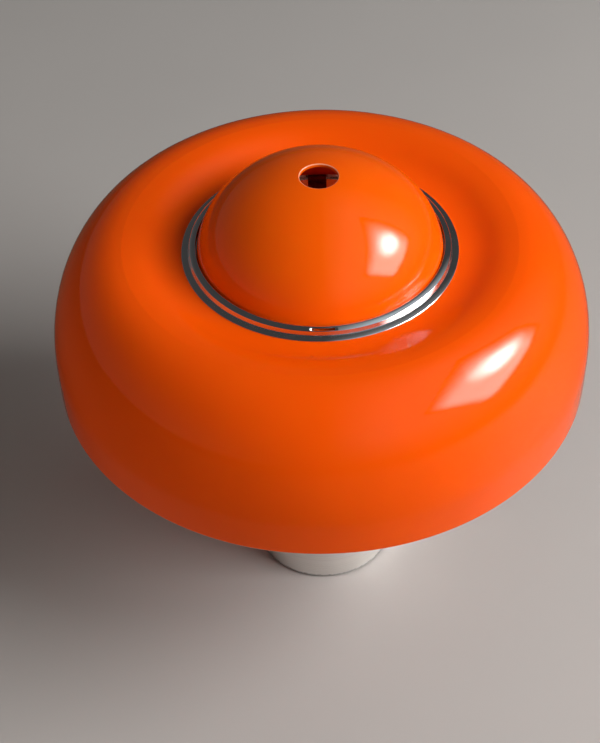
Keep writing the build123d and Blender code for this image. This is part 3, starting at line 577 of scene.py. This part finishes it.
def hang_window():
    """A glowing pane that only reflections see. The light that falls in comes from "daylight"."""
    material = bpy.data.materials.new("window_glow")
    material.use_nodes = True
    tree = material.node_tree
    tree.nodes.remove(tree.nodes["Principled BSDF"])
    inputs = {0: object_place(tree), 1: WINDOW_CORE}
    distance = add_node(tree, "ShaderNodeVectorMath", inputs, operation="DISTANCE").outputs["Value"]
    inputs = {"Value": distance, "From Min": 0.0, "From Max": WINDOW_CORE_SIZE}
    inputs |= {"To Min": WINDOW_CORE_GLOW, "To Max": WINDOW_GLOW}
    pane_glow = add_node(tree, "ShaderNodeMapRange", inputs, interpolation_type="SMOOTHERSTEP")
    strength = pane_glow.outputs["Result"]
    pane_place = add_node(tree, "ShaderNodeUVMap").outputs["UV"]
    across = add_node(tree, "ShaderNodeSeparateXYZ", {"Vector": pane_place})
    for axis in ("X", "Y"):
        inputs = {0: across.outputs[axis], 1: 1.0, 2: 1.0}
        from_edge = add_node(tree, "ShaderNodeMath", inputs, operation="PINGPONG").outputs["Value"]
        fade = add_node(
            tree,
            "ShaderNodeMapRange",
            {"Value": from_edge, "From Min": 0.0, "From Max": WINDOW_SOFT_EDGE},
            interpolation_type="SMOOTHSTEP",
        )
        strength = multiplied(tree, strength, fade.outputs["Result"])
    glow = add_node(tree, "ShaderNodeEmission", {"Color": opaque(WINDOW_COLOR), "Strength": strength})
    tree.links.new(glow.outputs["Emission"], tree.nodes["Material Output"].inputs["Surface"])
    pane = new_piece("window_pane", WINDOW_CORNERS, [(0, 1, 2, 3)], material)
    corners = pane.data.uv_layers.new(name="pane").data
    for corner, place in zip(corners, [(0, 0), (2, 0), (2, 2), (0, 2)]):
        corner.uv = place
    pane.visible_camera = False
    pane.visible_diffuse = False
    pane.visible_shadow = False


def hang_light(name, place, size, power, color):
    """A soft square light that faces the shade and that reflections don't see."""
    light = bpy.data.lights.new(name, "AREA")
    light.size = size
    light.energy = power
    light.color = color
    holder = bpy.data.objects.new(name, light)
    holder.location = place
    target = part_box("outer_shade")[0] / 2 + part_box("outer_shade")[1] / 2
    holder.rotation_euler = (target - Vector(place)).to_track_quat("-Z", "Y").to_euler()
    holder.visible_glossy = False
    bpy.context.scene.collection.objects.link(holder)


def light_room():
    """An even room for the fill. Reflections see it dark, with a paler wall low on the left and the
    sky high on the right. The camera sees a plain backdrop."""
    world = bpy.data.worlds.new("room")
    world.use_nodes = True
    tree = world.node_tree
    direction = add_node(tree, "ShaderNodeTexCoord").outputs["Generated"]
    split = add_node(tree, "ShaderNodeSeparateXYZ", {"Vector": direction})
    path = add_node(tree, "ShaderNodeLightPath")
    reflected = path.outputs["Is Glossy Ray"]
    left = remap(tree, split.outputs["X"], 1, 0, WALL_FULL_LEFT, WALL_END_LEFT)
    low = remap(tree, split.outputs["Z"], 1, 0, WALL_FULL_LOW, WALL_END_HIGH)
    seen = remap(tree, multiplied(tree, left, low), ROOM_REFLECTED, WALL_REFLECTED, 0, 1)
    right = remap(tree, split.outputs["X"], 0, 1, SKY_START_RIGHT, SKY_FULL_RIGHT)
    near = remap(tree, split.outputs["Y"], 1, 0, SKY_FULL_NEAR, SKY_END_FAR)
    high = remap(tree, split.outputs["Z"], 0, 1, SKY_START_HIGH, SKY_FULL_HIGH)
    sky = multiplied(tree, multiplied(tree, multiplied(tree, right, near), high), reflected)
    strength = add_node(tree, "ShaderNodeMix", {0: reflected, 2: ROOM_FILL, 3: seen})
    strength = add_node(tree, "ShaderNodeMix", {0: sky, 2: strength.outputs[0], 3: SKY_REFLECTED})
    inputs = {0: path.outputs["Is Camera Ray"], 2: strength.outputs[0], 3: BACKDROP}
    strength = add_node(tree, "ShaderNodeMix", inputs)
    background = tree.nodes["Background"]
    color = blend_colors(tree, sky, opaque(ROOM_COLOR), opaque(SKY_COLOR))
    tree.links.new(color, background.inputs["Color"])
    tree.links.new(strength.outputs[0], background.inputs["Strength"])
    bpy.context.scene.world = world


def place_camera():
    data = bpy.data.cameras.new("camera")
    data.sensor_fit = "VERTICAL"
    data.sensor_height = SENSOR
    data.sensor_width = SENSOR
    data.lens = LENS
    camera = bpy.data.objects.new("camera", data)
    pitch = Matrix.Rotation(radians(90 - CAMERA_PITCH), 4, "X")
    roll = Matrix.Rotation(radians(CAMERA_ROLL), 4, "Z")
    camera.matrix_world = Matrix.Translation(CAMERA_PLACE) @ pitch @ roll
    bpy.context.scene.collection.objects.link(camera)
    bpy.context.scene.camera = camera


dress_cad_nodes()
roll_ring()
thread_lamps()
lay_floor()
hang_window()
hang_light("daylight", DAYLIGHT_PLACE, DAYLIGHT_SIZE, DAYLIGHT_POWER, WINDOW_COLOR)
hang_light("bounce", BOUNCE_PLACE, BOUNCE_SIZE, BOUNCE_POWER, BOUNCE_COLOR)
light_room()
place_camera()
bpy.context.scene.view_settings.view_transform = "Standard"
